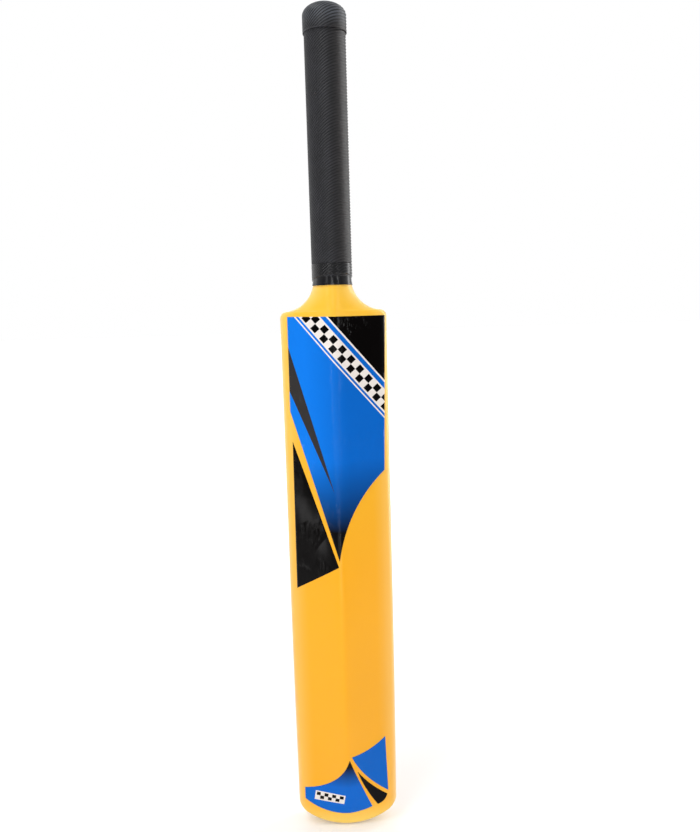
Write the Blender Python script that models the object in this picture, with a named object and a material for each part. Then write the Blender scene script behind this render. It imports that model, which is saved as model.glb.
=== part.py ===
"""A full-size blow-moulded plastic cricket bat: hollow blade and handle, rubber grip, tape and stickers.

Metres, +Z up. The bat stands on its toe. +X runs across the blade, -Y is the side that hits the ball,
and +Y is the back with the raised spine. Heights are measured up the face line from the tip of the toe.
"""

import math

import bmesh
import bpy
from mathutils import Vector

# Blade
BLADE_LENGTH = 0.563
BLADE_WIDTH = 0.108
FACE_EDGE_RADIUS = 0.006
BACK_EDGE_RADIUS = 0.006
SPINE_ROUNDING = 0.0035
WALL = 0.0034

# Depth of the blade at a few heights above the toe, as pairs of height and depth
SPINE_DEPTHS = (
    (0.000, 0.0305),
    (0.045, 0.0380),
    (0.094, 0.0478),
    (0.150, 0.0560),
    (0.225, 0.0595),
    (0.320, 0.0560),
    (0.440, 0.0465),
    (BLADE_LENGTH, 0.0385),
)
EDGE_DEPTHS = ((0.000, 0.0285), (0.170, 0.0290), (0.310, 0.0248), (BLADE_LENGTH, 0.0190))

# Toe, an arc in the front view whose curve fades out up the blade
TOE_RADIUS = 0.074
TOE_EDGE_RADIUS = 0.005
TOE_FADE_HEIGHT = 0.110

# Shoulders, a convex corner that runs into a concave scoop
SHOULDER_CORNER_RADIUS = 0.007
SHOULDER_SCOOP_RADIUS = 0.032

# Bow of the face: flat above the toe, one long bend, straight, then the handle's own small bend
FLAT_FACE_HEIGHT = 0.171
BOW_LENGTH = 0.170
BOW_ANGLE = math.radians(2.3)
NECK_BEND_LENGTH = 0.026
NECK_BEND_ANGLE = math.radians(1.3)

# Handle core, one piece with the blade, with the hole that it was blown through at its top
CORE_LENGTH = 0.2905
CORE_ROOT_RADIUS = 0.0186
CORE_TOP_RADIUS = 0.0188
CORE_DOME_HEIGHT = 0.0115
BLOW_HOLE_RADIUS = 0.0050

# Rubber grip: a sleeve, and a thicker turned-over cap on its end
FIT_GAP = 0.0003
SLEEVE_WALL = 0.0012
SLEEVE_TAPED_WALL = 0.0006
SLEEVE_TOP_MARGIN = 0.0040
CAP_WALL = 0.0007
CAP_LENGTH = 0.0285
CAP_LIP_RADIUS = 0.0005

# Tape, wound over the sleeve's lower end and on down the bare root of the handle into the scoop
TAPE_WIDTH = 0.0210
TAPE_THICKNESS = 0.0004
TAPE_ON_ROOT = 0.0085
TAPE_INTO_SCOOP = 0.0074
TAPE_STEP_HEIGHT = 0.0015

# Stickers. Each outline is corners of x and height, and how far the edge to the next corner bulges out,
# or in if it is negative. The panels and bars hang from the blade's top: theirs is the depth below it.
STICKER_THICKNESS = 0.0003
FACE_PANEL = (
    (0.0475, 0.008, 0.0),
    (-0.0475, 0.008, 0.0),
    (-0.0475, 0.166, -0.005),
    (0.0095, 0.186, 0.0),
    (0.0475, 0.084, 0.0),
)
FACE_BAR = ((0.0475, 0.1185, 0.0), (0.016, 0.1885, -0.0026), (0.0475, 0.2215, 0.0))
BACK_PANEL = (
    (-0.0475, 0.006, 0.0),
    (0.0465, 0.006, 0.0),
    (0.0465, 0.100, 0.0),
    (0.001, 0.249, -0.0095),
    (-0.0475, 0.163, 0.0),
)
BACK_BAR = ((0.045, 0.131, 0.0), (0.002, 0.255, 0.0), (0.046, 0.284, 0.0))
TOE_LEFT = ((0.0465, 0.049, 0.0), (0.0465, 0.035, 0.0115), (-0.0265, 0.0235, -0.001), (-0.003, 0.0895, -0.011))
TOE_BAR = ((-0.0112, 0.0725, -0.0028), (-0.0431, 0.0373, 0.0022), (-0.0325, 0.0255, 0.0022))
TOE_RIGHT = ((-0.0054, 0.0932, -0.0028), (-0.0418, 0.1092, 0.0), (-0.0442, 0.0417, 0.005))

# Fineness of the mesh
FLAT_SHARES = (0.0, 0.10, 0.40, 0.70, 1.0)
ARC_STEPS = 4
SIDE_STEPS = 4
HALF_STEPS = 2 * (len(FLAT_SHARES) - 1) + 2 * ARC_STEPS + SIDE_STEPS
TURNED_STEPS = 40
STATION_SPACING = 0.024
STICKER_ARC_STEPS = 6

# Worked out from the sizes above
HALF_WIDTH = BLADE_WIDTH / 2
FLAT_HALF_WIDTH = HALF_WIDTH - max(FACE_EDGE_RADIUS, BACK_EDGE_RADIUS)
CORE_TOP = BLADE_LENGTH + CORE_LENGTH


def clear_scene():
    for item in list(bpy.data.objects):
        bpy.data.objects.remove(item, do_unlink=True)


def smooth_through(pairs, height):
    """Value at a height on a smooth curve through a few (height, value) pairs, with no overshoot."""
    if height <= pairs[0][0]:
        return pairs[0][1]
    if height >= pairs[-1][0]:
        return pairs[-1][1]
    slopes = [(high[1] - low[1]) / (high[0] - low[0]) for low, high in zip(pairs, pairs[1:])]
    tangents = [slopes[0]]
    for before, after in zip(slopes, slopes[1:]):
        same_way = before * after > 0
        tangents.append(2 * before * after / (before + after) if same_way else 0.0)
    tangents.append(slopes[-1])
    index = max(i for i, pair in enumerate(pairs[:-1]) if pair[0] <= height)
    span = pairs[index + 1][0] - pairs[index][0]
    t = (height - pairs[index][0]) / span
    low_part = (2 * t**3 - 3 * t**2 + 1) * pairs[index][1] + (t**3 - 2 * t**2 + t) * span * tangents[index]
    high_part = (3 * t**2 - 2 * t**3) * pairs[index + 1][1] + (t**3 - t**2) * span * tangents[index + 1]
    return low_part + high_part


def shoulder_heights():
    """Heights of the corner's centre, of the join of corner and scoop, and of the scoop's centre."""
    reach = SHOULDER_CORNER_RADIUS + SHOULDER_SCOOP_RADIUS
    across = CORE_ROOT_RADIUS + SHOULDER_SCOOP_RADIUS - (HALF_WIDTH - SHOULDER_CORNER_RADIUS)
    rise = math.sqrt(reach**2 - across**2)
    corner = BLADE_LENGTH - SHOULDER_CORNER_RADIUS
    return corner, corner + rise * SHOULDER_CORNER_RADIUS / reach, corner + rise


CORNER_HEIGHT, JOIN_HEIGHT, SCOOP_HEIGHT = shoulder_heights()
TAPE_BOTTOM = SCOOP_HEIGHT - TAPE_INTO_SCOOP
TAPE_TOP = TAPE_BOTTOM + TAPE_WIDTH
SLEEVE_BOTTOM = TAPE_BOTTOM + TAPE_ON_ROOT
SLEEVE_TOP = CORE_TOP - CORE_DOME_HEIGHT - SLEEVE_TOP_MARGIN


def bent_step(length, angle, tilt):
    """Step along Y and Z over a bend of this length and angle that starts at this tilt."""
    if angle == 0:
        return -length * math.sin(tilt), length * math.cos(tilt)
    radius = length / angle
    step_y = radius * (math.cos(tilt + angle) - math.cos(tilt))
    return step_y, radius * (math.sin(tilt + angle) - math.sin(tilt))


def face_line(height):
    """Y, Z and forward tilt of the face line at this height along the bat."""
    runs = (
        (FLAT_FACE_HEIGHT, 0.0),
        (BOW_LENGTH, BOW_ANGLE),
        (BLADE_LENGTH - FLAT_FACE_HEIGHT - BOW_LENGTH, 0.0),
        (NECK_BEND_LENGTH, NECK_BEND_ANGLE),
        (2 * CORE_LENGTH, 0.0),
    )
    y, z, tilt, left = 0.0, 0.0, 0.0, height
    for length, angle in runs:
        part = min(left, length)
        step_y, step_z = bent_step(part, angle * part / length, tilt)
        y += step_y
        z += step_z
        tilt += angle * part / length
        left -= part
        if left <= 0:
            break
    return y, z, tilt


def place(x, depth, height):
    """World point at x, this deep behind the face line, at this height along it."""
    y, z, tilt = face_line(height)
    return Vector((x, y + depth * math.cos(tilt), z + depth * math.sin(tilt)))


def core_radius(height):
    """The core's radius, which grows slightly from root to dome and then closes over the dome."""
    dome_base = CORE_TOP - CORE_DOME_HEIGHT
    share = (height - SCOOP_HEIGHT) / (dome_base - SCOOP_HEIGHT)
    radius = CORE_ROOT_RADIUS + (CORE_TOP_RADIUS - CORE_ROOT_RADIUS) * min(max(share, 0.0), 1.0)
    if height <= dome_base:
        return radius
    return radius * math.sqrt(max(1 - ((height - dome_base) / CORE_DOME_HEIGHT) ** 2, 0.0))


def outline_half_width(height):
    """Half of the moulding's width in the front view, from the blade's side up to the neck."""
    if height <= CORNER_HEIGHT:
        return HALF_WIDTH
    if height <= JOIN_HEIGHT:
        side = math.sqrt(SHOULDER_CORNER_RADIUS**2 - (height - CORNER_HEIGHT) ** 2)
        return HALF_WIDTH - SHOULDER_CORNER_RADIUS + side
    if height < SCOOP_HEIGHT:
        side = math.sqrt(SHOULDER_SCOOP_RADIUS**2 - (SCOOP_HEIGHT - height) ** 2)
        return CORE_ROOT_RADIUS + SHOULDER_SCOOP_RADIUS - side
    return CORE_ROOT_RADIUS


def back_depth(x, height):
    """Depth of the back behind the face line: two slopes that meet in a soft ridge."""
    edge = smooth_through(EDGE_DEPTHS, height)
    spine = smooth_through(SPINE_DEPTHS, height)
    outer = math.hypot(HALF_WIDTH, SPINE_ROUNDING)
    share = (outer - math.hypot(x, SPINE_ROUNDING)) / (outer - SPINE_ROUNDING)
    return edge + (spine - edge) * share


def blade_half_section(height, inset):
    """Points (x, depth) from the middle of the face, round one edge, to the top of the spine."""
    half_width = HALF_WIDTH - inset
    face_radius = FACE_EDGE_RADIUS - inset
    back_radius = BACK_EDGE_RADIUS - inset
    edge = smooth_through(EDGE_DEPTHS, height)
    spine = smooth_through(SPINE_DEPTHS, height)
    turn = math.pi / 2 - math.atan2(spine - edge, HALF_WIDTH)
    side_start = FACE_EDGE_RADIUS
    side_end = edge - inset - back_radius * math.tan(turn / 2)
    points = [(FLAT_HALF_WIDTH * share, inset) for share in FLAT_SHARES]
    for step in range(1, ARC_STEPS + 1):
        angle = math.pi / 2 * step / ARC_STEPS
        across = half_width - face_radius + face_radius * math.sin(angle)
        points.append((across, inset + face_radius * (1 - math.cos(angle))))
    for step in range(1, SIDE_STEPS):
        points.append((half_width, side_start + (side_end - side_start) * step / SIDE_STEPS))
    for step in range(ARC_STEPS + 1):
        angle = turn * step / ARC_STEPS
        across = half_width - back_radius + back_radius * math.cos(angle)
        points.append((across, side_end + back_radius * math.sin(angle)))
    for share in reversed(FLAT_SHARES[:-1]):
        across = FLAT_HALF_WIDTH * share
        points.append((across, back_depth(across, height) - inset))
    return points


def core_half_section(radius):
    """The same number of points round half of the handle's circle, from its face side to its back."""
    angles = [math.pi * step / HALF_STEPS for step in range(HALF_STEPS + 1)]
    return [(radius * math.sin(a), CORE_ROOT_RADIUS - radius * math.cos(a)) for a in angles]


def toe_lift(x, height):
    """How far a point at x is lifted by the toe's arc, fading to nothing up the blade."""
    arc = TOE_RADIUS - math.sqrt(TOE_RADIUS**2 - x**2)
    return arc * max(1 - height / TOE_FADE_HEIGHT, 0.0)


def half_ring(height, inset):
    """World points of half a ring of the moulding, its section going from blade to handle."""
    if height >= SCOOP_HEIGHT:
        points = core_half_section(core_radius(height))
        return [place(x, depth, height) for x, depth in points]
    share = (outline_half_width(height) - CORE_ROOT_RADIUS) / (HALF_WIDTH - CORE_ROOT_RADIUS)
    core = core_half_section(CORE_ROOT_RADIUS)
    flat_guess = blade_half_section(height, inset)
    ring = []
    for index, (guess_x, _) in enumerate(flat_guess):
        lifted = height + toe_lift(guess_x, height)
        x, depth = blade_half_section(lifted, inset)[index]
        core_x, core_depth = core[index]
        x = core_x + (x - core_x) * share
        depth = core_depth + (depth - core_depth) * share
        ring.append(place(x, depth, lifted))
    return ring


def even_heights(low, high, spacing):
    """Heights from low up to, but not at, high, about this far apart."""
    count = max(math.ceil((high - low) / spacing), 1)
    return [low + (high - low) * step / count for step in range(count)]


def moulding_stations():
    """Height and inset of each ring from the toe to the blow hole."""
    stations = []
    for step in range(ARC_STEPS):
        angle = math.pi / 2 * (1 - step / ARC_STEPS)
        drop = TOE_EDGE_RADIUS * math.sin(angle)
        stations.append((TOE_EDGE_RADIUS - drop, TOE_EDGE_RADIUS * (1 - math.cos(angle))))
    heights = even_heights(TOE_EDGE_RADIUS, CORNER_HEIGHT, STATION_SPACING)
    corner_angle = math.asin((JOIN_HEIGHT - CORNER_HEIGHT) / SHOULDER_CORNER_RADIUS)
    for step in range(ARC_STEPS):
        angle = corner_angle * step / ARC_STEPS
        heights.append(CORNER_HEIGHT + SHOULDER_CORNER_RADIUS * math.sin(angle))
    scoop_steps = 2 * ARC_STEPS
    for step in range(scoop_steps):
        angle = corner_angle * (1 - step / scoop_steps)
        heights.append(SCOOP_HEIGHT - SHOULDER_SCOOP_RADIUS * math.sin(angle))
    dome_base = CORE_TOP - CORE_DOME_HEIGHT
    heights += even_heights(SCOOP_HEIGHT, dome_base, CORE_LENGTH / 3)
    hole_angle = math.acos(BLOW_HOLE_RADIUS / CORE_TOP_RADIUS)
    for step in range(ARC_STEPS + 1):
        angle = hole_angle * step / ARC_STEPS
        heights.append(dome_base + CORE_DOME_HEIGHT * math.sin(angle))
    return stations + [(height, 0.0) for height in heights]


def add_object(name, form, material):
    """An object from a finished bmesh, shaded smooth except over its sharp edges."""
    mesh = bpy.data.meshes.new(name)
    form.to_mesh(mesh)
    form.free()
    mesh.materials.append(material)
    mesh.shade_smooth()
    mesh.set_sharp_from_angle(angle=math.radians(40))
    item = bpy.data.objects.new(name, mesh)
    bpy.context.scene.collection.objects.link(item)
    return item


def make_material(name, colour, roughness):
    material = bpy.data.materials.new(name)
    material.use_nodes = True
    shader = material.node_tree.nodes["Principled BSDF"]
    shader.inputs["Base Color"].default_value = (*colour, 1.0)
    shader.inputs["Roughness"].default_value = roughness
    shader.inputs["Metallic"].default_value = 0.0
    return material


def skin_rings():
    """The moulding's outer skin as closed rings of points, from the toe to the blow hole."""
    rings = []
    for height, inset in moulding_stations():
        right = half_ring(height, inset)
        left = [Vector((-point.x, point.y, point.z)) for point in right[-2:0:-1]]
        rings.append(right + left)
    return rings


def bridge(form, rings, closed):
    """Triangles between rings of vertices, all cut the same way across."""
    for lower, upper in zip(rings, rings[1:]):
        for index in range(len(lower) if closed else len(lower) - 1):
            after = (index + 1) % len(lower)
            form.faces.new((lower[index], lower[after], upper[after]))
            form.faces.new((lower[index], upper[after], upper[index]))


def make_moulding(rings, material):
    """The hollow shell: rings bridged from toe to blow hole, closed at the toe, then given its wall."""
    form = bmesh.new()
    corners = [[form.verts.new(point) for point in ring] for ring in rings]
    bridge(form, corners, closed=True)
    toe = corners[0]
    side_start = (HALF_STEPS - SIDE_STEPS) // 2
    for sign in (1, -1):
        for index in range(side_start):
            strip = [index, index + 1, HALF_STEPS - index - 1, HALF_STEPS - index]
            if index + 1 == side_start:
                strip[2:2] = range(side_start + 1, HALF_STEPS - side_start)
            form.faces.new([toe[sign * corner % len(toe)] for corner in strip])
    bmesh.ops.recalc_face_normals(form, faces=form.faces)
    item = add_object("bat_moulding", form, material)
    wall = item.modifiers.new("wall", "SOLIDIFY")
    wall.thickness = WALL
    wall.offset = -1
    wall.use_even_offset = True
    return item


def make_turned(name, profile, material):
    """A piece turned round the handle's axis from a profile of (radius, height) points."""
    form = bmesh.new()
    corners = [form.verts.new((radius, 0.0, height - SCOOP_HEIGHT)) for radius, height in profile]
    open_ended = profile[0][0] == 0
    pairs = zip(corners, corners[1:] if open_ended else corners[1:] + corners[:1])
    edges = [form.edges.new(pair) for pair in pairs]
    bmesh.ops.spin(
        form, geom=corners + edges, axis=(0, 0, 1), angle=2 * math.pi, steps=TURNED_STEPS, use_merge=True
    )
    bmesh.ops.remove_doubles(form, verts=form.verts, dist=1e-6)
    bmesh.ops.recalc_face_normals(form, faces=form.faces)
    item = add_object(name, form, material)
    item.location = place(0.0, CORE_ROOT_RADIUS, SCOOP_HEIGHT)
    item.rotation_euler = (face_line(SCOOP_HEIGHT)[2], 0.0, 0.0)
    return item


def sleeve_inner_radius(height):
    return core_radius(height) + FIT_GAP


def make_sleeve(material):
    """The sleeve hugs the core, and is squeezed thinner where the tape holds its lower end."""
    low, taped, high = SLEEVE_BOTTOM, TAPE_TOP, SLEEVE_TOP
    swell = taped + TAPE_STEP_HEIGHT
    profile = (
        (sleeve_inner_radius(low), low),
        (sleeve_inner_radius(low) + SLEEVE_TAPED_WALL, low),
        (sleeve_inner_radius(taped) + SLEEVE_TAPED_WALL, taped),
        (sleeve_inner_radius(swell) + SLEEVE_WALL, swell),
        (sleeve_inner_radius(high) + SLEEVE_WALL, high),
        (sleeve_inner_radius(high), high),
    )
    return make_turned("grip_sleeve", profile, material)


def make_cap(material):
    """The grip's thick turned-over end: a dome over the core's dome, and a cuff round the sleeve."""
    cuff_radius = sleeve_inner_radius(SLEEVE_TOP) + SLEEVE_WALL + FIT_GAP
    dome_base = CORE_TOP - CORE_DOME_HEIGHT
    dome_height = CORE_DOME_HEIGHT + FIT_GAP
    low = CORE_TOP + FIT_GAP + CAP_WALL - CAP_LENGTH
    angles = [math.pi / 2 * step / (2 * ARC_STEPS) for step in range(2 * ARC_STEPS + 1)]
    profile = []
    for angle in reversed(angles):
        radius = (cuff_radius + CAP_WALL) * math.cos(angle) if angle < math.pi / 2 else 0.0
        profile.append((radius, dome_base + (dome_height + CAP_WALL) * math.sin(angle)))
    profile.append((cuff_radius + CAP_WALL, low + CAP_LIP_RADIUS))
    profile.append((cuff_radius + CAP_WALL - CAP_LIP_RADIUS, low))
    profile.append((cuff_radius, low))
    for angle in angles:
        radius = cuff_radius * math.cos(angle) if angle < math.pi / 2 else 0.0
        profile.append((radius, dome_base + dome_height * math.sin(angle)))
    return make_turned("grip_end_cap", profile, material)


def ring_around(height, clearance):
    """A ring of points that keeps this clearance outside the moulding at this height."""
    right = half_ring(height, 0.0)
    ring = right + [Vector((-point.x, point.y, point.z)) for point in right[-2:0:-1]]
    centre = place(0.0, CORE_ROOT_RADIUS, height)
    return [point + (point - centre).normalized() * clearance for point in ring]


def make_tape(material):
    """Wound tape: it covers the sleeve's end, then steps in and follows the root down into the scoop."""
    on_sleeve = FIT_GAP + SLEEVE_TAPED_WALL + FIT_GAP
    step_top = SLEEVE_BOTTOM - FIT_GAP
    step_bottom = step_top - TAPE_STEP_HEIGHT
    stations = [(height, FIT_GAP) for height in even_heights(TAPE_BOTTOM, step_bottom, TAPE_ON_ROOT / 4)]
    stations += [(step_bottom, FIT_GAP), (step_top, on_sleeve), (TAPE_TOP, on_sleeve)]
    loops = [ring_around(height, gap) for height, gap in stations]
    loops += [ring_around(height, gap + TAPE_THICKNESS) for height, gap in reversed(stations)]
    form = bmesh.new()
    rings = [[form.verts.new(point) for point in loop] for loop in loops]
    bridge(form, rings + rings[:1], closed=True)
    bmesh.ops.recalc_face_normals(form, faces=form.faces)
    return add_object("grip_tape", form, material)


def edge_points(start, end, bulge, away):
    """World points of a sticker's edge, in even steps from one corner to the next."""
    if bulge == 0:
        return [start, end]
    steps = STICKER_ARC_STEPS
    shares = [step / steps for step in range(steps + 1)]
    return [start.lerp(end, share) + away * bulge * 4 * share * (1 - share) for share in shares]


def cut(form, faces, point, away, clear):
    """Cut these faces along a plane, and clear what lies beyond it if asked."""
    edges = {edge for face in faces for edge in face.edges}
    verts = {vert for face in faces for vert in face.verts}
    bmesh.ops.bisect_plane(
        form,
        geom=list(verts) + list(edges) + list(faces),
        dist=1e-7,
        plane_co=point,
        plane_no=away,
        clear_outer=clear,
    )


def cut_bite(form, planes):
    """Take a hollow edge's bite out of a sticker: what lies beyond every one of its planes."""
    bitten = list(form.faces)
    for count, (point, away) in enumerate(planes, start=1):
        cut(form, bitten, point, away, clear=False)
        bitten = [
            face
            for face in form.faces
            if all((face.calc_center_median() - start).dot(beyond) > 0 for start, beyond in planes[:count])
        ]
    bmesh.ops.delete(form, geom=bitten, context="FACES")


def make_sticker(name, rings, outline, on_back, material):
    """A thin skin that follows the moulding's face or back, trimmed to its outline."""
    form = bmesh.new()
    reach = len(FLAT_SHARES) - 1
    middle = HALF_STEPS if on_back else 0
    outward = Vector((0.0, 1.0 if on_back else -1.0, 0.0))
    sheet = []
    for ring in rings:
        strip = [ring[(middle + step) % len(ring)] for step in range(-reach, reach + 1)]
        sheet.append([form.verts.new(point + outward * FIT_GAP) for point in strip])
    bridge(form, sheet, closed=False)
    corners = [place(x, 0.0, height) for x, height, _ in outline]
    centre = sum(corners, Vector()) / len(corners)
    for index, start in enumerate(corners):
        end = corners[(index + 1) % len(corners)]
        bulge = outline[index][2]
        across = (end - start).cross(outward).normalized()
        away = across if across.dot(start - centre) > 0 else -across
        points = edge_points(start, end, bulge, away)
        planes = []
        for low, high in zip(points, points[1:]):
            step_across = (high - low).cross(outward)
            planes.append((low, step_across if step_across.dot(away) > 0 else -step_across))
        if bulge < 0:
            cut_bite(form, planes)
        else:
            for point, beyond in planes:
                cut(form, list(form.faces), point, beyond, clear=True)
    bmesh.ops.triangulate(form, faces=form.faces)
    rim = [edge for edge in form.edges if edge.is_boundary]
    lower_faces = list(form.faces)
    top = {vert: form.verts.new(vert.co + outward * STICKER_THICKNESS) for vert in list(form.verts)}
    for face in lower_faces:
        form.faces.new([top[vert] for vert in reversed(face.verts)])
    for edge in rim:
        start, end = edge.verts
        form.faces.new((start, end, top[end], top[start]))
    bmesh.ops.recalc_face_normals(form, faces=form.faces)
    return add_object(name, form, material)


def below_blade_top(outline):
    """The same outline, with each corner's depth below the blade's top turned into its height."""
    return [(x, BLADE_LENGTH - depth, bulge) for x, depth, bulge in outline]


def make_stickers(rings, blue, black):
    outlines = {
        "face_panel_decal": below_blade_top(FACE_PANEL),
        "face_bar_decal": below_blade_top(FACE_BAR),
        "back_panel_decal": below_blade_top(BACK_PANEL),
        "back_bar_decal": below_blade_top(BACK_BAR),
        "toe_left_decal": TOE_LEFT,
        "toe_bar_decal": TOE_BAR,
        "toe_right_decal": TOE_RIGHT,
    }
    stickers = []
    for name, outline in outlines.items():
        on_back = not name.startswith("face")
        colour = black if "bar" in name else blue
        stickers.append(make_sticker(name, rings, outline, on_back, colour))
    return stickers


def stand_at_origin(pieces):
    """Carry every piece on one empty, placed so that the bat's box stands centred on the origin."""
    bpy.context.view_layer.update()
    points = [piece.matrix_world @ vert.co for piece in pieces for vert in piece.data.vertices]
    lowest = min(point.z for point in points)
    nearest = min(point.y for point in points)
    farthest = max(point.y for point in points)
    carrier = bpy.data.objects.new("bat", None)
    bpy.context.scene.collection.objects.link(carrier)
    for piece in pieces:
        piece.parent = carrier
    carrier.location = (0.0, -(nearest + farthest) / 2, -lowest)


def main():
    clear_scene()
    yellow = make_material("yellow_plastic", (0.89, 0.45, 0.005), 0.38)
    rubber = make_material("black_rubber", (0.030, 0.029, 0.033), 0.80)
    cap_rubber = make_material("cap_rubber", (0.034, 0.033, 0.037), 0.80)
    tape = make_material("black_tape", (0.010, 0.010, 0.011), 0.25)
    blue = make_material("blue_vinyl", (0.003, 0.140, 0.600), 0.30)
    black = make_material("black_vinyl", (0.009, 0.008, 0.009), 0.28)
    rings = skin_rings()
    pieces = [make_moulding(rings, yellow), make_sleeve(rubber), make_cap(cap_rubber), make_tape(tape)]
    pieces += make_stickers(rings, blue, black)
    stand_at_origin(pieces)


main()
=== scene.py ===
"""Looks of a hollow plastic cricket bat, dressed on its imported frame.

Metres, +Z up, in the frame's own place: -Y is the side that hits the ball, +Y is the back with the raised
spine, and the toe stands on the floor. Heights are measured up the face line from the tip of the toe.
"""

import math

import bmesh
import bpy
import numpy as np
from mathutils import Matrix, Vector


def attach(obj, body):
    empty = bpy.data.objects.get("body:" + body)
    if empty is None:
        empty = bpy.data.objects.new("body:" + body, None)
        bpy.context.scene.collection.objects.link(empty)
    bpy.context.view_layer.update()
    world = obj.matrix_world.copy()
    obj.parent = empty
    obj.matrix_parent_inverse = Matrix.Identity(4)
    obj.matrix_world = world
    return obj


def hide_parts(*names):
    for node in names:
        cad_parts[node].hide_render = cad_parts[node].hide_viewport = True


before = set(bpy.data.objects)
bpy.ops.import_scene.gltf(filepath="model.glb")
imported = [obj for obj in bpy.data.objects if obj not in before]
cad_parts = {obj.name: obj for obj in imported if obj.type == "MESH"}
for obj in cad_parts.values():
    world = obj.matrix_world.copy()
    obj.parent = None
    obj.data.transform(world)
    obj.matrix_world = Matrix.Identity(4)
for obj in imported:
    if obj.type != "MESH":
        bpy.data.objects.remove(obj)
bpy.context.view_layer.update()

# Blade
BLADE_LENGTH = 0.563
HALF_WIDTH = 0.054
FACE_EDGE_RADIUS = 0.006
BACK_EDGE_RADIUS = 0.011
SPINE_ROUNDING = 0.0035

# Depth of the blade at its ridge and at its edges, as pairs of height and depth
SPINE_DEPTHS = (
    (0.000, 0.0305),
    (0.045, 0.0380),
    (0.094, 0.0478),
    (0.150, 0.0560),
    (0.225, 0.0595),
    (0.320, 0.0560),
    (0.440, 0.0465),
    (BLADE_LENGTH, 0.0385),
)
EDGE_DEPTHS = ((0.000, 0.0285), (0.170, 0.0290), (0.310, 0.0248), (BLADE_LENGTH, 0.0190))

# Toe and shoulders
TOE_RADIUS = 0.074
TOE_EDGE_RADIUS = 0.005
TOE_FADE_HEIGHT = 0.110
CORNER_RADIUS = 0.007
SCOOP_RADIUS = 0.032

# Bow of the face: flat above the toe, one long bend, straight, the handle's own small bend, and straight
# on past the handle's end. Each run is a length and a bend.
FLAT_FACE_HEIGHT = 0.171
BOW_LENGTH = 0.170
BOW_ANGLE = math.radians(2.3)
NECK_BEND_LENGTH = 0.026
NECK_BEND_ANGLE = math.radians(1.3)
HANDLE_RUN = 0.600
FACE_RUNS = (
    (FLAT_FACE_HEIGHT, 0.0),
    (BOW_LENGTH, BOW_ANGLE),
    (BLADE_LENGTH - FLAT_FACE_HEIGHT - BOW_LENGTH, 0.0),
    (NECK_BEND_LENGTH, NECK_BEND_ANGLE),
    (HANDLE_RUN, 0.0),
)

# Handle core, with the hole that it was blown through at its top
CORE_LENGTH = 0.2905
CORE_ROOT_RADIUS = 0.0186
CORE_TOP_RADIUS = 0.0188
CORE_DOME_HEIGHT = 0.0115
BLOW_HOLE_RADIUS = 0.0050

# Rubber grip: a sleeve that the tape squeezes at its lower end, and a thicker turned-over cap
FIT_GAP = 0.0003
SLEEVE_WALL = 0.0012
SLEEVE_TAPED_WALL = 0.0006
SQUEEZE_HEIGHT = 0.001
SLEEVE_TOP_MARGIN = 0.0040
CAP_WALL = 0.0007
CAP_LENGTH = 0.0285
DOME_MARGIN = 0.0001

# Tape: how it is wound, how deep the sleeve's ribs show through it, and where it steps in to the root
TAPE_WIDTH = 0.0210
TAPE_THICKNESS = 0.0004
TAPE_ON_ROOT = 0.0085
TAPE_INTO_SCOOP = 0.0074
TAPE_STEP_HEIGHT = 0.0007
TAPED_RIB_DEPTH = 0.00034
TAPE_LAP_PITCH = 0.0070
TAPE_LAP_SHARE = 0.04
TAPE_LAP_DEPTH = 0.00008

# The sleeve's uneven lower end under the tape: its middle height above the tape's lower edge, how far it
# slants up and down from there, and the angle round the handle at which it is highest
SLEEVE_END_HEIGHT = 0.0062
SLEEVE_END_SLANT = 0.0048
SLEEVE_END_TURN = math.radians(20.0)

# Ribs of the rubber grip: their pitch, their depth, how round their crests are, how far they fade in above
# the cap's lip and at its crown, and their slope, with the waves in it as (times round, size, phase)
RIB_PITCH = 0.0029
RIB_DEPTH = 0.00055
RIB_CREST_POWER = 0.9
RIB_FADE_HEIGHT = 0.0015
CROWN_FADE_SHARE = 0.02
RIB_SLOPE = 0.63
RIB_SLOPE_WAVES = ((1, 0.305, math.radians(-116.0)), (2, 0.257, math.radians(-50.0)))

# Parting line of the moulding, a fine raised seam along the middle of its flat sides
PARTING_HEIGHT = 0.00022
PARTING_WIDTH = 0.0007
SIDE_WIDTH = 0.012

# Painted highlight along the moulding's long edges: how far in from them it reaches, and how it falls off
EDGE_HIGHLIGHT_REACH = 0.020
EDGE_HIGHLIGHT_POWER = 1.5

# Stickers. Each outline is corners of x and height, and how far the edge to the next corner bulges out,
# or in if it is negative.
VINYL_LIFT = 0.00005
VINYL_THICKNESS = 0.00016
FACE_PANEL = (
    (0.0490, 0.555, 0.0),
    (-0.0475, 0.555, 0.0),
    (-0.0480, 0.397, -0.005),
    (0.0095, 0.377, 0.0),
    (0.0480, 0.479, 0.0),
)
FACE_BAR = ((0.0480, 0.4445, 0.0), (0.016, 0.3745, -0.0026), (0.0475, 0.3415, 0.0))
BACK_PANEL = (
    (-0.0515, 0.557, 0.0),
    (0.0460, 0.558, 0.0),
    (0.0465, 0.463, 0.0),
    (0.001, 0.314, -0.0095),
    (-0.0475, 0.400, 0.0),
)
BACK_BAR = ((0.045, 0.432, 0.0), (0.002, 0.308, 0.0), (0.046, 0.279, 0.0))
TOE_LEFT = (
    (0.0465, 0.049, 0.0),
    (0.0465, 0.035, 0.0115),
    (-0.0265, 0.0235, -0.001),
    (-0.003, 0.0895, -0.011),
)
TOE_BAR = ((-0.0112, 0.0725, -0.0028), (-0.0431, 0.0373, 0.0022), (-0.0325, 0.0255, 0.0022))
TOE_RIGHT = ((-0.0054, 0.0932, -0.0028), (-0.0418, 0.1092, 0.0), (-0.0442, 0.0417, 0.005))

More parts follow.
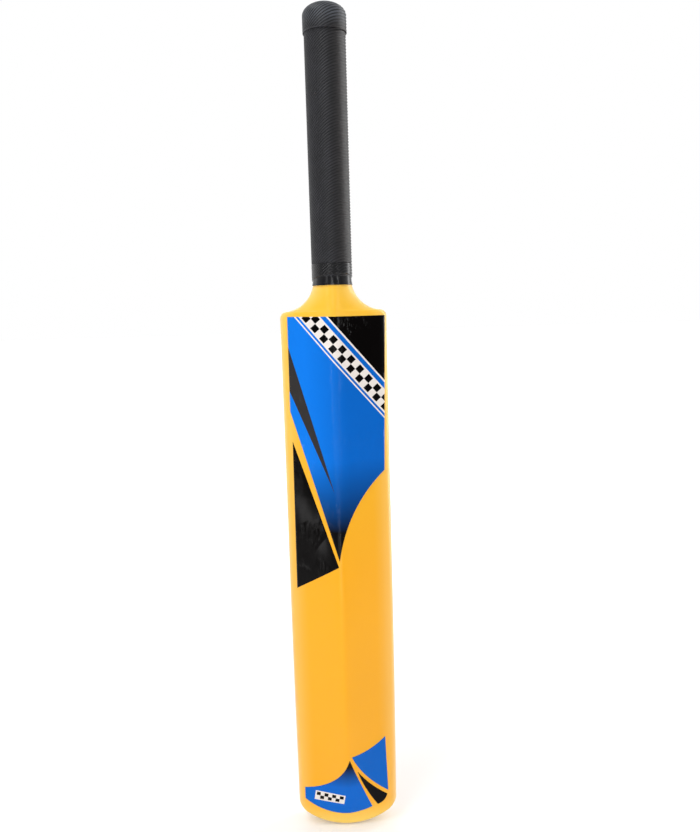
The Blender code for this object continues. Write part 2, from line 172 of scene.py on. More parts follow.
# Printed on both panels: a dark corner, a chequered band and a line beside it, all on one lean, and a
# tapering stripe. A shorter chequered band is on the toe. The corner and the bands have a pale edging.
EDGING = 0.0016
LEAN = math.radians(50.0)
LEAN_START = (0.020, 0.575)
CHECK = 0.0066
BAND_START = (0.0, 0.0075)
BAND_CHECKS = 24
LINE = (0.0244, 0.0257)
STRIPE = ((0.052, 0.548), (0.052, 0.497), (0.0, 0.373), (0.0012, 0.373))
TOE_LEAN = math.radians(9.0)
TOE_START = (0.0335, 0.0445)
TOE_CHECK = 0.0042
TOE_CHECKS = 7

# Yellow of the moulding: the two shades of its clouds, and painted light: paler towards the neck, painted
# highlights on the back's edges low and high up, and a painted highlight on the toe's rim. Both spans are
# heights above the floor.
YELLOW_CLOUDS = ((0.90, 0.390, 0.002), (0.94, 0.420, 0.004))
YELLOW_NECK_PAINTED_LIGHT = (0.94, 0.530, 0.040)
YELLOW_EDGE_HIGHLIGHTS = ((0.95, 0.530, 0.110), (0.955, 0.610, 0.135))
YELLOW_TOE_RIM_HIGHLIGHT = (0.97, 0.640, 0.115)
NECKWARD_PAINTED_LIGHT_SPAN = (0.30, 0.60)
TOE_RIM_HIGHLIGHT_SPAN = (0.032, 0.006)

# Rubber: painted shade in the grooves; on the ribs' crests, the rubber's own tone with a painted highlight,
# bluish towards +x; browner towards -x; and a painted highlight on the dome of the end cap. The crests turn
# browner over a span of x, and the dome's painted highlight comes in over a span of heights above the floor.
RUBBER_GROOVE_SHADE = (0.0012, 0.0012, 0.0016)
RUBBER_AND_CREST_HIGHLIGHT = (0.014, 0.014, 0.019)
RUBBER_BROWNER_SIDE = (0.012, 0.0085, 0.008)
RUBBER_DOME_HIGHLIGHT = (0.055, 0.060, 0.072)
BROWNER_SIDE_SPAN = (0.0, -0.014)
DOME_HIGHLIGHT_SPAN = (0.829, 0.842)

# Inks of the stickers. The blues fade to near black over spans of height, on a slant on the face, and the
# back's blue has painted light on it, brighter towards +X.
BLACK = (0.0015, 0.001, 0.001)
NEAR_BLACK = (0.002, 0.002, 0.003)
GREY = (0.035, 0.032, 0.032)
PALE = (0.80, 0.74, 0.69)
BACK_BLUE = (0.003, 0.125, 0.54)
BACK_LIT_SIDE_BLUE = (0.006, 0.19, 0.78)
FACE_BLUE = (0.003, 0.13, 0.60)
TOE_BLUE = (0.003, 0.13, 0.58)
PLAIN_BLUE = (0.003, 0.12, 0.52)
BACK_FADE = (0.345, 0.415)
FACE_FADE = (0.365, 0.440)
FACE_FADE_SLANT = 0.5
TOE_FADE = (0.080, 0.052)
LIT_SIDE_SPAN = (-0.012, 0.030)

# Camera, at the photograph's angle on the back of the bat
CAMERA_PLACE = (0.00127, 0.81979, 0.61635)
CAMERA_TURN = (1.37845, 0.02698, 3.11787)
FOCAL_PIXELS = 820.0
PICTURE_HEIGHT = 832.0
SENSOR_HEIGHT = 24.0

# Light of the white surroundings on the bat, and how bright their camera side is in reflections
AMBIENT = 0.42
DIM_REFLECTION = 0.20

# Floor: half its width, and the strength of its own light at two distances from the bat
FLOOR_REACH = 6.0
GLOW_DISTANCES = (0.3, 1.6)
GLOW_STRENGTHS = (0.15, 1.0)

# Where most of the lamps aim
BAT_MIDDLE = (0.0, 0.0, 0.45)

# Fineness of the meshes: points along each stretch of the blade's section, the share of the side between
# two rows at the parting line, how the rows crowd towards the ridge, then counts, spacings and tolerances
STRETCH_POINTS = {"face": 20, "face_edge": 9, "side": 5, "back_edge": 13, "back": 30}
SEAM_SHARE = 0.03
RIDGE_CROWDING = 1.6
STATION_SPACING = 0.004
TOE_STEPS = 8
CORNER_STEPS = 10
SCOOP_STEPS = 26
HANDLE_STEPS = 12
DOME_STEPS = 8
UNDERSIDE_STEPS = 12
SLEEVE_COLUMNS = 120
ROWS_PER_RIB = 8
TURNED_COLUMNS = 240
LIP_STEPS = 6
CAP_SPACING = 0.0004
CAP_DOME_STEPS = 48
TAPE_SPACING = 0.0003
SHEET_SPACING = 0.0015
BULGE_STEPS = 16
NORMAL_STEP = 0.0002
MERGE_DISTANCE = 1e-6
CUT_DISTANCE = 1e-7
SHARP_ANGLE = math.radians(50.0)

# The bat's box stands centred on the origin, so the flat of the face, below the bow, lies this far in
# front of it
FACE_START_Y = -0.0134757

# Worked out from the sizes above
CORE_TOP = BLADE_LENGTH + CORE_LENGTH
DOME_BASE = CORE_TOP - CORE_DOME_HEIGHT
STRETCHES = tuple(STRETCH_POINTS)


def smooth_step(share):
    """A share from 0 to 1, eased at both ends."""
    return share * share * (3 - 2 * share)


def smooth_through(pairs, heights):
    """Values at these heights on a smooth curve through a few (height, value) pairs, with no overshoot."""
    knots = np.array([pair[0] for pair in pairs])
    values = np.array([pair[1] for pair in pairs])
    spans = np.diff(knots)
    slopes = np.diff(values) / spans
    before, after = slopes[:-1], slopes[1:]
    same_way = before * after > 0
    total = np.where(same_way, before + after, 1.0)
    inner = np.where(same_way, 2 * before * after / total, 0.0)
    tangents = np.concatenate([slopes[:1], inner, slopes[-1:]])
    heights = np.clip(heights, knots[0], knots[-1])
    index = np.clip(np.searchsorted(knots, heights, side="right") - 1, 0, len(spans) - 1)
    span = spans[index]
    t = (heights - knots[index]) / span
    low = (2 * t**3 - 3 * t**2 + 1) * values[index] + (t**3 - 2 * t**2 + t) * span * tangents[index]
    high = (3 * t**2 - 2 * t**3) * values[index + 1] + (t**3 - t**2) * span * tangents[index + 1]
    return low + high


def shoulder_heights():
    """Heights of the corner's centre, of the join of corner and scoop, and of the scoop's centre."""
    reach = CORNER_RADIUS + SCOOP_RADIUS
    across = CORE_ROOT_RADIUS + SCOOP_RADIUS - (HALF_WIDTH - CORNER_RADIUS)
    rise = math.sqrt(reach**2 - across**2)
    corner = BLADE_LENGTH - CORNER_RADIUS
    return corner, corner + rise * CORNER_RADIUS / reach, corner + rise


CORNER_HEIGHT, JOIN_HEIGHT, SCOOP_HEIGHT = shoulder_heights()
TAPE_BOTTOM = SCOOP_HEIGHT - TAPE_INTO_SCOOP
TAPE_TOP = TAPE_BOTTOM + TAPE_WIDTH
SLEEVE_BOTTOM = TAPE_BOTTOM + TAPE_ON_ROOT
SLEEVE_TOP = DOME_BASE - SLEEVE_TOP_MARGIN


def place(x, depth, height):
    """Points at x, this deep behind the face line, at this height along it, as an array of rows."""
    x, depth, height = np.broadcast_arrays(x, depth, height)
    y = np.full(height.shape, FACE_START_Y)
    z = np.zeros(height.shape)
    tilt = np.zeros(height.shape)
    start, start_tilt = 0.0, 0.0
    for length, angle in FACE_RUNS:
        part = np.clip(height - start, 0.0 if start else -np.inf, length)
        if angle:
            radius = length / angle
            turn = start_tilt + angle * part / length
            y = y + radius * (np.cos(turn) - math.cos(start_tilt))
            z = z + radius * (np.sin(turn) - math.sin(start_tilt))
            tilt = tilt + angle * part / length
        else:
            y = y - part * math.sin(start_tilt)
            z = z + part * math.cos(start_tilt)
        start += length
        start_tilt += angle
    return np.stack([x, y + depth * np.cos(tilt), z + depth * np.sin(tilt)], axis=-1)


def outline_half_width(height):
    """Half of the moulding's width in the front view, from the blade's side up to the neck."""
    corner = np.sqrt(np.clip(CORNER_RADIUS**2 - np.clip(height - CORNER_HEIGHT, 0, None) ** 2, 0, None))
    scoop = np.sqrt(np.clip(SCOOP_RADIUS**2 - np.clip(SCOOP_HEIGHT - height, 0, None) ** 2, 0, None))
    return np.where(
        height <= JOIN_HEIGHT, HALF_WIDTH - CORNER_RADIUS + corner, CORE_ROOT_RADIUS + SCOOP_RADIUS - scoop
    )


def back_depth(x, height):
    """Depth of the back behind the face line: two slopes that meet in a soft ridge."""
    edge = smooth_through(EDGE_DEPTHS, height)
    spine = smooth_through(SPINE_DEPTHS, height)
    outer = math.hypot(HALF_WIDTH, SPINE_ROUNDING)
    share = (outer - np.hypot(x, SPINE_ROUNDING)) / (outer - SPINE_ROUNDING)
    return edge + (spine - edge) * share


def section_steps():
    """Half of the blade's section as (stretch, share along it): face, its edge, the side, its edge, the
    back. The steps crowd at the side's ends, at the parting line and towards the ridge."""
    even = {stretch: np.linspace(0, 1, count) for stretch, count in STRETCH_POINTS.items()}
    face = [("face", share) for share in even["face"][:-1]]
    face_edge = [("face_edge", share) for share in even["face_edge"][:-1]]
    side = [("side", 0.5 - 0.5 * math.cos(math.pi * share)) for share in even["side"][:-1]]
    side_middle = [("side", 0.5 + offset * SEAM_SHARE) for offset in (-2, -1, 0, 1, 2)]
    side = sorted(set(side + side_middle), key=lambda step: step[1])
    back_edge = [("back_edge", share) for share in even["back_edge"][:-1]]
    back = [("back", 1 - (1 - share) ** RIDGE_CROWDING) for share in even["back"]]
    return face + face_edge + side + back_edge + back


STEPS = section_steps()


def blade_section(height, inset):
    """x and depth at each step of the half section. height has a column for each step."""
    kinds = np.array([STRETCHES.index(kind) for kind, _ in STEPS])
    shares = np.array([share for _, share in STEPS])
    narrowed = 1 - PARTING_HEIGHT / HALF_WIDTH
    half_width = HALF_WIDTH - inset
    face_radius = FACE_EDGE_RADIUS - inset
    back_radius = BACK_EDGE_RADIUS - inset
    flat = HALF_WIDTH - max(FACE_EDGE_RADIUS, BACK_EDGE_RADIUS)
    edge = smooth_through(EDGE_DEPTHS, height)
    spine = smooth_through(SPINE_DEPTHS, height)
    turn = math.pi / 2 - np.arctan2(spine - edge, HALF_WIDTH)
    side_end = edge - inset - back_radius * np.tan(turn / 2)
    face_turn = math.pi / 2 * shares
    back_x = flat * (1 - shares)
    x_choices = [
        flat * shares,
        half_width - face_radius + face_radius * np.sin(face_turn),
        half_width,
        half_width - back_radius + back_radius * np.cos(turn * shares),
        back_x,
    ]
    depth_choices = [
        inset,
        inset + face_radius * (1 - np.cos(face_turn)),
        FACE_EDGE_RADIUS + (side_end - FACE_EDGE_RADIUS) * shares,
        side_end + back_radius * np.sin(turn * shares),
        back_depth(back_x * narrowed, height) - inset,
    ]
    stretch = np.broadcast_to(kinds, height.shape)
    x = np.choose(stretch, [np.broadcast_to(choice, height.shape) for choice in x_choices])
    depth = np.choose(stretch, [np.broadcast_to(choice, height.shape) for choice in depth_choices])
    on_side = kinds == STRETCHES.index("side")
    seam = np.where(on_side, np.exp(-(((shares - 0.5) * SIDE_WIDTH / PARTING_WIDTH) ** 2)), 0.0)
    return x * narrowed + PARTING_HEIGHT * seam, depth


def toe_lift(x, height):
    """How far a point at x is lifted by the toe's arc, fading to nothing up the blade."""
    arc = TOE_RADIUS - np.sqrt(TOE_RADIUS**2 - x**2)
    return arc * np.clip(1 - height / TOE_FADE_HEIGHT, 0.0, None)


def core_radius(height):
    """Radius of the handle core, which tapers up to its dome."""
    share = np.clip((height - SCOOP_HEIGHT) / (DOME_BASE - SCOOP_HEIGHT), 0.0, 1.0)
    radius = CORE_ROOT_RADIUS + (CORE_TOP_RADIUS - CORE_ROOT_RADIUS) * share
    over = np.clip((height - DOME_BASE) / CORE_DOME_HEIGHT, 0.0, 1.0)
    return radius * np.sqrt(1 - over**2)


def skin_stations():
    """Heights of the skin's rings, from the toe to the blow hole, and how far each is set in."""
    toe = [math.pi / 2 * (1 - step / TOE_STEPS) for step in range(TOE_STEPS)]
    toe_heights = [TOE_EDGE_RADIUS - (TOE_EDGE_RADIUS - PARTING_HEIGHT) * math.sin(angle) for angle in toe]
    toe_insets = [TOE_EDGE_RADIUS * (1 - math.cos(angle)) for angle in toe]
    blade = list(np.arange(TOE_EDGE_RADIUS, CORNER_HEIGHT - STATION_SPACING / 4, STATION_SPACING))
    turn = math.asin((JOIN_HEIGHT - CORNER_HEIGHT) / CORNER_RADIUS)
    corner_turns = [turn * step / CORNER_STEPS for step in range(CORNER_STEPS)]
    corner = [CORNER_HEIGHT + CORNER_RADIUS * math.sin(angle) for angle in corner_turns]
    scoop_turns = [turn * (1 - step / SCOOP_STEPS) for step in range(SCOOP_STEPS)]
    scoop = [SCOOP_HEIGHT - SCOOP_RADIUS * math.sin(angle) for angle in scoop_turns]
    handle = list(np.linspace(SCOOP_HEIGHT, DOME_BASE, HANDLE_STEPS, endpoint=False))
    hole_turn = math.acos(BLOW_HOLE_RADIUS / CORE_TOP_RADIUS)
    dome_turns = [hole_turn * step / DOME_STEPS for step in range(DOME_STEPS + 1)]
    dome = [DOME_BASE + CORE_DOME_HEIGHT * math.sin(angle) for angle in dome_turns]
    rest = blade + corner + scoop + handle + dome
    return np.array(toe_heights + rest)[:, None], np.array(toe_insets + [0.0] * len(rest))[:, None]


def skin_rings():
    """The outer skin as rings of points, one row for each height, and those heights."""
    heights, insets = skin_stations()
    heights = heights * np.ones((1, len(STEPS)))
    guess_x, _ = blade_section(heights, insets)
    lifted = heights + toe_lift(guess_x, heights)
    x, depth = blade_section(lifted, insets)
    turn = np.pi * np.arange(len(STEPS)) / (len(STEPS) - 1)
    radius = core_radius(heights)
    core_x = radius * np.sin(turn)
    core_depth = CORE_ROOT_RADIUS - radius * np.cos(turn)
    share = (outline_half_width(heights) - CORE_ROOT_RADIUS) / (HALF_WIDTH - CORE_ROOT_RADIUS)
    share = np.where(heights >= SCOOP_HEIGHT, 0.0, share)
    x = core_x + (x - core_x) * share
    depth = core_depth + (depth - core_depth) * share
    right = place(x, depth, lifted)
    left = right[:, -2:0:-1] * np.array([-1.0, 1.0, 1.0])
    return np.concatenate([right, left], axis=1), heights[:, 0]


def add_item(name, mesh):
    """A smooth-shaded object that rides on the frame's one body."""
    mesh.shade_smooth()
    item = bpy.data.objects.new(name, mesh)
    bpy.context.scene.collection.objects.link(item)
    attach(item, "root")
    return item


def add_mesh(name, points, faces, material):
    mesh = bpy.data.meshes.new(name)
    mesh.from_pydata([tuple(point) for point in points], [], faces)
    mesh.materials.append(material)
    return add_item(name, mesh)


def mark(item, name, values):
    """A value for each point of the mesh, for the material to read."""
    layer = item.data.attributes.new(name, "FLOAT", "POINT")
    layer.data.foreach_set("value", np.asarray(values, dtype=np.float32).ravel())


def ring_faces(rings, around):
    """Quads between closed rings of points that are numbered ring after ring."""
    faces = []
    for ring in range(rings - 1):
        for index in range(around):
            after = (index + 1) % around
            low, high = ring * around, (ring + 1) * around
            faces.append((low + index, low + after, high + after, high + index))
    return faces


def edge_highlight_share(x, height):
    """Share of the painted edge highlight: 1 on the moulding's long edges, falling to 0 inside them."""
    inside = outline_half_width(height) - np.abs(x)
    return np.clip(1 - inside / EDGE_HIGHLIGHT_REACH, 0.0, 1.0) ** EDGE_HIGHLIGHT_POWER


def underside(rings, points, edge):
    """Faces of the toe's underside: strips from the face's edge to the back's edge, with the parting line
    across. Their new points join the list, and so does each point's share of the painted edge highlight."""
    around = rings.shape[1]
    half = around // 2
    grid = []
    for column in range(-half // 2, half // 2 + 1):
        front = rings[0][column % around]
        rear = rings[0][(half - column) % around]
        row = [column % around]
        for step in range(1, UNDERSIDE_STEPS):
            share = step / UNDERSIDE_STEPS
            point = front + (rear - front) * share
            if step == UNDERSIDE_STEPS // 2:
                point = point - np.array([0.0, 0.0, PARTING_HEIGHT])
            row.append(len(points))
            points.append(point)
            edge.append(edge_highlight_share(point[0], 0.0))
        row.append((half - column) % around)
        grid.append(row)
    faces = []
    for low, high in zip(grid, grid[1:]):
        for step in range(UNDERSIDE_STEPS):
            corners = tuple(dict.fromkeys((low[step], low[step + 1], high[step + 1], high[step])))
            if len(corners) > 2:
                faces.append(corners)
    return faces


def make_moulding(material):
    """The blow-moulded skin of blade, shoulders and handle core, closed at the toe."""
    rings, heights = skin_rings()
    points = list(rings.reshape(-1, 3))
    # Each point's share of the painted edge highlight, kept for the material
    edge = list(edge_highlight_share(rings[:, :, 0], heights[:, None]).reshape(-1))
    faces = ring_faces(*rings.shape[:2]) + underside(rings, points, edge)
    item = add_mesh("bat_moulding_skin", points, faces, material)
    mark(item, "edge", edge)
    form = bmesh.new()
    form.from_mesh(item.data)
    bmesh.ops.remove_doubles(form, verts=form.verts, dist=MERGE_DISTANCE)
    bmesh.ops.recalc_face_normals(form, faces=form.faces)
    form.to_mesh(item.data)
    form.free()
    item.data.shade_smooth()
    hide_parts("bat_moulding")


def rib_climb(angle):
    """How far a rib has climbed at this angle round the handle. Angle 0 is +Y, a quarter turn is -X."""
    climb = RIB_SLOPE * angle
    for times, size, phase in RIB_SLOPE_WAVES:
        climb = climb + size * (np.sin(times * angle - phase) + math.sin(phase)) / times
    return climb * GRIP_RADIUS


def rib_profile(phase):
    """Height of the ribs from 0 in the grooves to 1 on their round crests, at this count of pitches."""
    return np.abs(np.cos(np.pi * phase)) ** RIB_CREST_POWER


def round_handle(radius, angle, height):
    """Points at this radius and angle round the handle's axis."""
    return place(-radius * np.sin(angle), CORE_ROOT_RADIUS + radius * np.cos(angle), height)


GRIP_RADIUS = CORE_TOP_RADIUS + FIT_GAP + SLEEVE_WALL
RIB_STARTS = round(2 * math.pi * RIB_SLOPE * GRIP_RADIUS / RIB_PITCH)
RIB_RISE = 2 * math.pi * RIB_SLOPE * GRIP_RADIUS / RIB_STARTS
CAP_DOME_HEIGHT = CORE_DOME_HEIGHT + FIT_GAP + CAP_WALL - DOME_MARGIN


def squeezed_wall(height):
    """Wall of the sleeve, thinner where the tape holds it."""
    share = smooth_step(np.clip((height - TAPE_TOP) / SQUEEZE_HEIGHT, 0.0, 1.0))
    return SLEEVE_TAPED_WALL + (SLEEVE_WALL - SLEEVE_TAPED_WALL) * share


def rib_faces(heights):
    """Quads between rows of points that follow the ribs. Once round the handle, a row meets the row that is
    a whole number of ribs higher. Quads that lie past the sleeve's ends are left out."""
    rows, columns = heights.shape
    faces = []
    for row in range(rows - 1):
        for column in range(columns):
            after = (column + 1) % columns
            next_row = row if after else row + RIB_STARTS * ROWS_PER_RIB
            if next_row + 1 >= rows:
                continue
            corners = (
                row * columns + column,
                next_row * columns + after,
                (next_row + 1) * columns + after,
                (row + 1) * columns + column,
            )
            reach = heights.flat[list(corners)]
            if reach.max() > SLEEVE_BOTTOM and reach.min() < SLEEVE_TOP:
                faces.append(corners)
    return faces


def make_sleeve(material):
    """The ribbed sleeve. Its rows of points follow the ribs, so each keeps its shape all the way round."""
    angles = 2 * np.pi * np.arange(SLEEVE_COLUMNS) / SLEEVE_COLUMNS
    climbs = rib_climb(angles)
    first = math.floor((SLEEVE_BOTTOM - climbs.max()) / RIB_RISE) - RIB_STARTS
    last = math.ceil((SLEEVE_TOP - climbs.min()) / RIB_RISE) + 1
    phases = np.arange(first * ROWS_PER_RIB, last * ROWS_PER_RIB + 1) / ROWS_PER_RIB
    heights = np.clip(phases[:, None] * RIB_RISE + climbs[None, :], SLEEVE_BOTTOM, SLEEVE_TOP)
    wall = squeezed_wall(heights)
    groove = (1 - rib_profile(phases))[:, None]
    radius = core_radius(heights) + FIT_GAP + wall - np.minimum(RIB_DEPTH, 0.5 * wall) * groove
    points = round_handle(radius, angles[None, :], heights).reshape(-1, 3)
    faces = rib_faces(heights)
    used = sorted({corner for face in faces for corner in face})
    number = {old: new for new, old in enumerate(used)}
    faces = [tuple(number[corner] for corner in face) for face in faces]
    item = add_mesh("grip_sleeve_ribbed", points[used], faces, material)
    crest = np.broadcast_to(1 - groove, heights.shape).reshape(-1)
    mark(item, "crest", crest[used])
    wall = item.modifiers.new("wall", "SOLIDIFY")
    wall.thickness = SLEEVE_TAPED_WALL / 2
    wall.offset = -1
    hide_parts("grip_sleeve")


def cap_profile():
    """The end cap's section as rows of radius, height and how deep the ribs are: the rolled lip, the cuff
    and the dome up to its crown."""
    inner = GRIP_RADIUS + FIT_GAP
    outer = inner + CAP_WALL
    low = CORE_TOP + FIT_GAP + CAP_WALL - CAP_LENGTH
    lip = CAP_WALL / 2
    profile = [(inner, low + CAP_LENGTH / 3, 0.0)]
    for step in range(LIP_STEPS + 1):
        turn = math.pi * step / LIP_STEPS
        profile.append((inner + lip - lip * math.cos(turn), low + lip - lip * math.sin(turn), 0.0))
    for height in np.arange(low + lip + CAP_SPACING, DOME_BASE, CAP_SPACING):
        profile.append((outer, height, min((height - low - lip) / RIB_FADE_HEIGHT, 1.0)))
    for step in range(CAP_DOME_STEPS):
        turn = math.pi / 2 * step / CAP_DOME_STEPS
        fade = min((1 - math.sin(turn)) / CROWN_FADE_SHARE, 1.0)
        profile.append((outer * math.cos(turn), DOME_BASE + CAP_DOME_HEIGHT * math.sin(turn), fade))
    return np.array(profile)


def make_cap(material):
    """The turned-over end of the grip, with the ribs running on over its cuff and its dome."""
    profile = cap_profile()
    across, up, ribbed = profile[:, 0, None], profile[:, 1, None], profile[:, 2, None]
    angles = 2 * np.pi * np.arange(TURNED_COLUMNS) / TURNED_COLUMNS
    lip_end = LIP_STEPS + 1
    lengths = np.hypot(np.diff(profile[:, 0]), np.diff(profile[:, 1]))
    along = np.concatenate([[0.0], np.cumsum(lengths)])
    along = along - along[lip_end] + profile[lip_end, 1]
    phase = (along[:, None] - rib_climb(angles)[None, :]) / RIB_RISE
    groove = ribbed * (1 - rib_profile(phase))
    radius = across - RIB_DEPTH * groove * np.clip(across / across.max(), 0, 1)
    height = up - RIB_DEPTH * groove * np.clip((up - DOME_BASE) / CAP_DOME_HEIGHT, 0, 1)
    points = list(round_handle(radius, angles[None, :], height).reshape(-1, 3))
    faces = ring_faces(len(profile), TURNED_COLUMNS)
    top = (len(profile) - 1) * TURNED_COLUMNS
    for index in range(TURNED_COLUMNS):
        faces.append((top + index, top + (index + 1) % TURNED_COLUMNS, len(points)))
    points.append(place(0.0, CORE_ROOT_RADIUS, DOME_BASE + CAP_DOME_HEIGHT))
    item = add_mesh("grip_end_cap_ribbed", points, faces, material)
    mark(item, "crest", np.append((1 - groove).reshape(-1), 1.0))
    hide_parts("grip_end_cap")


def sleeve_end(angle):
    """Height of the sleeve's uneven lower end under the tape, highest on the back."""
    return TAPE_BOTTOM + SLEEVE_END_HEIGHT + SLEEVE_END_SLANT * np.cos(angle - SLEEVE_END_TURN)


def make_tape(material):
    """Glossy tape: the ribs show through where it covers the sleeve, and it steps in to the smooth root."""
    angles = 2 * np.pi * np.arange(TURNED_COLUMNS)[None, :] / TURNED_COLUMNS
    heights = np.arange(TAPE_BOTTOM, TAPE_TOP + TAPE_SPACING / 2, TAPE_SPACING)[:, None]
    below = (sleeve_end(angles) - heights) / TAPE_STEP_HEIGHT
    on_root = smooth_step(np.clip(below + 0.5, 0.0, 1.0))
    phase = (heights - rib_climb(angles)) / RIB_RISE
    over_sleeve = FIT_GAP + SLEEVE_TAPED_WALL + FIT_GAP + TAPE_THICKNESS
    over_root = FIT_GAP + TAPE_THICKNESS
    over = over_sleeve + (over_root - over_sleeve) * on_root
    over = over - TAPED_RIB_DEPTH * (1 - on_root) * (1 - rib_profile(phase))
    turns = (heights - TAPE_BOTTOM) / TAPE_LAP_PITCH - angles / (2 * np.pi)
    overlap = np.clip((turns % 1.0) / TAPE_LAP_SHARE, 0.0, 1.0)
    over = over - TAPE_LAP_DEPTH * (1 - overlap)
    scooped = heights < SCOOP_HEIGHT
    base = np.where(scooped, outline_half_width(heights), core_radius(heights))
    wide = base - CORE_ROOT_RADIUS
    radius = np.where(scooped, CORE_ROOT_RADIUS + wide * np.abs(np.sin(angles)), base) + over
    outer = round_handle(radius, angles, heights)
    inner = round_handle(radius - TAPE_THICKNESS / 2, angles, heights)
    points = np.concatenate([outer, inner[::-1], outer[:1]]).reshape(-1, 3)
    rings = 2 * len(heights) + 1
    item = add_mesh("grip_tape_wound", points, ring_faces(rings, TURNED_COLUMNS), material)
    item.data.set_sharp_from_angle(angle=SHARP_ANGLE)
    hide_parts("grip_tape")


def sticker_depth(x, height, on_back):
    """Depth of the moulding's face or back at these points, its rounded back edges included."""
    if not on_back:
        return np.zeros(np.broadcast(x, height).shape)
    edge = smooth_through(EDGE_DEPTHS, height)
    spine = smooth_through(SPINE_DEPTHS, height)
    turn = math.pi / 2 - np.arctan2(spine - edge, HALF_WIDTH)
    side_end = edge - BACK_EDGE_RADIUS * np.tan(turn / 2)
    share = np.clip((np.abs(x) - HALF_WIDTH + BACK_EDGE_RADIUS) / BACK_EDGE_RADIUS, 0.0, 1.0)
    rounded = side_end + BACK_EDGE_RADIUS * np.sqrt(1 - share**2)
    return np.where(share > np.cos(turn), rounded, back_depth(x, height))


def outline_points(outline):
    """Each edge of a sticker's outline as points, from its corner up to the next."""
    corners = [Vector((x, height, 0.0)) for x, height, _ in outline]
    centre = sum(corners, Vector()) / len(corners)
    edges = []
    for index, start in enumerate(corners):
        end = corners[(index + 1) % len(corners)]
        bulge = outline[index][2]
        away = (end - start).cross(Vector((0.0, 0.0, 1.0))).normalized()
        away = away if away.dot(start - centre) > 0 else -away
        count = BULGE_STEPS if bulge else 1
        shares = [step / count for step in range(count + 1)]
        points = [start.lerp(end, share) + away * bulge * 4 * share * (1 - share) for share in shares]
        edges.append((points, bulge, away))
    return edges


def cut(form, faces, point, away, clear=False):
    """Cut these faces along an upright plane, and clear what lies beyond it if asked."""
    edges = {edge for face in faces for edge in face.edges}
    verts = {vert for face in faces for vert in face.verts}
    geom = list(verts) + list(edges) + list(faces)
    bmesh.ops.bisect_plane(
        form, geom=geom, dist=CUT_DISTANCE, plane_co=point, plane_no=away, clear_outer=clear
    )


def beyond_all(form, planes):
    """Faces that lie beyond every one of these planes."""
    return [
        face
        for face in form.faces
        if all((face.calc_center_median() - point).dot(away) > 0 for point, away in planes)
    ]


def cut_region(form, planes):
    """Cut round a convex region and return its faces."""
    faces = list(form.faces)
    for count, (point, away) in enumerate(planes, start=1):
        cut(form, faces, point, away)
        faces = beyond_all(form, planes[:count])
    return faces


def trim(form, outline):
    """Cut a sheet down to its outline. A hollow edge's bite goes last, as a region of its own."""
    bites = []
    for points, bulge, away in outline_points(outline):
        planes = []
        for low, high in zip(points, points[1:]):
            across = (high - low).cross(Vector((0.0, 0.0, 1.0)))
            planes.append((low, across if across.dot(away) > 0 else -across))
        if bulge < 0:
            bites.append(planes)
            continue
        for point, beyond in planes:
            cut(form, list(form.faces), point, beyond, clear=True)
    for planes in bites:
        bmesh.ops.delete(form, geom=cut_region(form, planes), context="FACES")


def shape_planes(corners, extra):
    """The sides of a convex shape, moved out by this much, as planes that face into it."""
    centre = sum(corners, Vector()) / len(corners)
    planes = []
    for start, end in zip(corners, corners[1:] + corners[:1]):
        inward = (end - start).cross(Vector((0.0, 0.0, 1.0))).normalized()
        inward = inward if inward.dot(centre - start) > 0 else -inward
        planes.append((start - inward * extra, inward))
    return planes


def leaning(start, lean, along, across):
    """A point this far down a lean from its start, and this far below the lean."""
    x, height = start
    return (
        x - along * math.cos(lean) + across * math.sin(lean),
        height - along * math.sin(lean) - across * math.cos(lean),
    )


def bar(start, lean, along, across):
    """Corners of a straight bar, from its two distances down the lean and its two below it."""
    corners = ((along[0], across[0]), (along[1], across[0]), (along[1], across[1]), (along[0], across[1]))
    return tuple(leaning(start, lean, *corner) for corner in corners)


def chequers(start, lean, size, columns):
    """A pale band with dark checks in two rows by turns."""
    shapes = [("pale", True, bar(start, lean, (0.0, columns * size), (0.0, 2 * size)))]
    for column in range(columns):
        row = column % 2
        along, across = (column * size, (column + 1) * size), (row * size, (row + 1) * size)
        shapes.append(("black", False, bar(start, lean, along, across)))
    return shapes


def print_shapes(form, shapes, inks):
    """Give the faces under each shape its ink, its pale edging first."""
    for ink, edged, corners in shapes:
        corners = [Vector((x, height, 0.0)) for x, height in corners]
        layers = [("pale", EDGING), (ink, 0.0)] if edged else [(ink, 0.0)]
        for name, extra in layers:
            for face in cut_region(form, shape_planes(corners, extra)):
                face.material_index = list(inks).index(name)


def make_sheet(outline):
    """A flat grid over the outline's box, with x across and height up."""
    points = [point for edge, _, _ in outline_points(outline) for point in edge]
    left, right = min(p.x for p in points), max(p.x for p in points)
    low, high = min(p.y for p in points), max(p.y for p in points)
    columns = math.ceil((right - left) / SHEET_SPACING)
    rows = math.ceil((high - low) / SHEET_SPACING)
    form = bmesh.new()
    bmesh.ops.create_grid(form, x_segments=columns, y_segments=rows, size=0.5)
    for vert in form.verts:
        x = left + (right - left) * (vert.co.x + 0.5)
        height = low + (high - low) * (vert.co.y + 0.5)
        vert.co = (x, height, 0.0)
    return form


def lay_down(form, on_back):
    """Move a flat sheet's points onto the moulding, just clear of its skin."""
    flat = np.array([vert.co[:2] for vert in form.verts])
    x, height = flat[:, 0], flat[:, 1]
    step = NORMAL_STEP
    here = place(x, sticker_depth(x, height, on_back), height)
    aside = place(x + step, sticker_depth(x + step, height, on_back), height)
    above = place(x, sticker_depth(x, height + step, on_back), height + step)
    normal = np.cross(aside - here, above - here)
    normal /= np.linalg.norm(normal, axis=1, keepdims=True)
    if on_back:
        normal = -normal
    for vert, point in zip(form.verts, here + normal * (VINYL_LIFT + VINYL_THICKNESS)):
        vert.co = point
    bmesh.ops.recalc_face_normals(form, faces=form.faces)
    facing = sum(face.normal.y for face in form.faces)
    if (facing > 0) != on_back:
        bmesh.ops.reverse_faces(form, faces=form.faces)


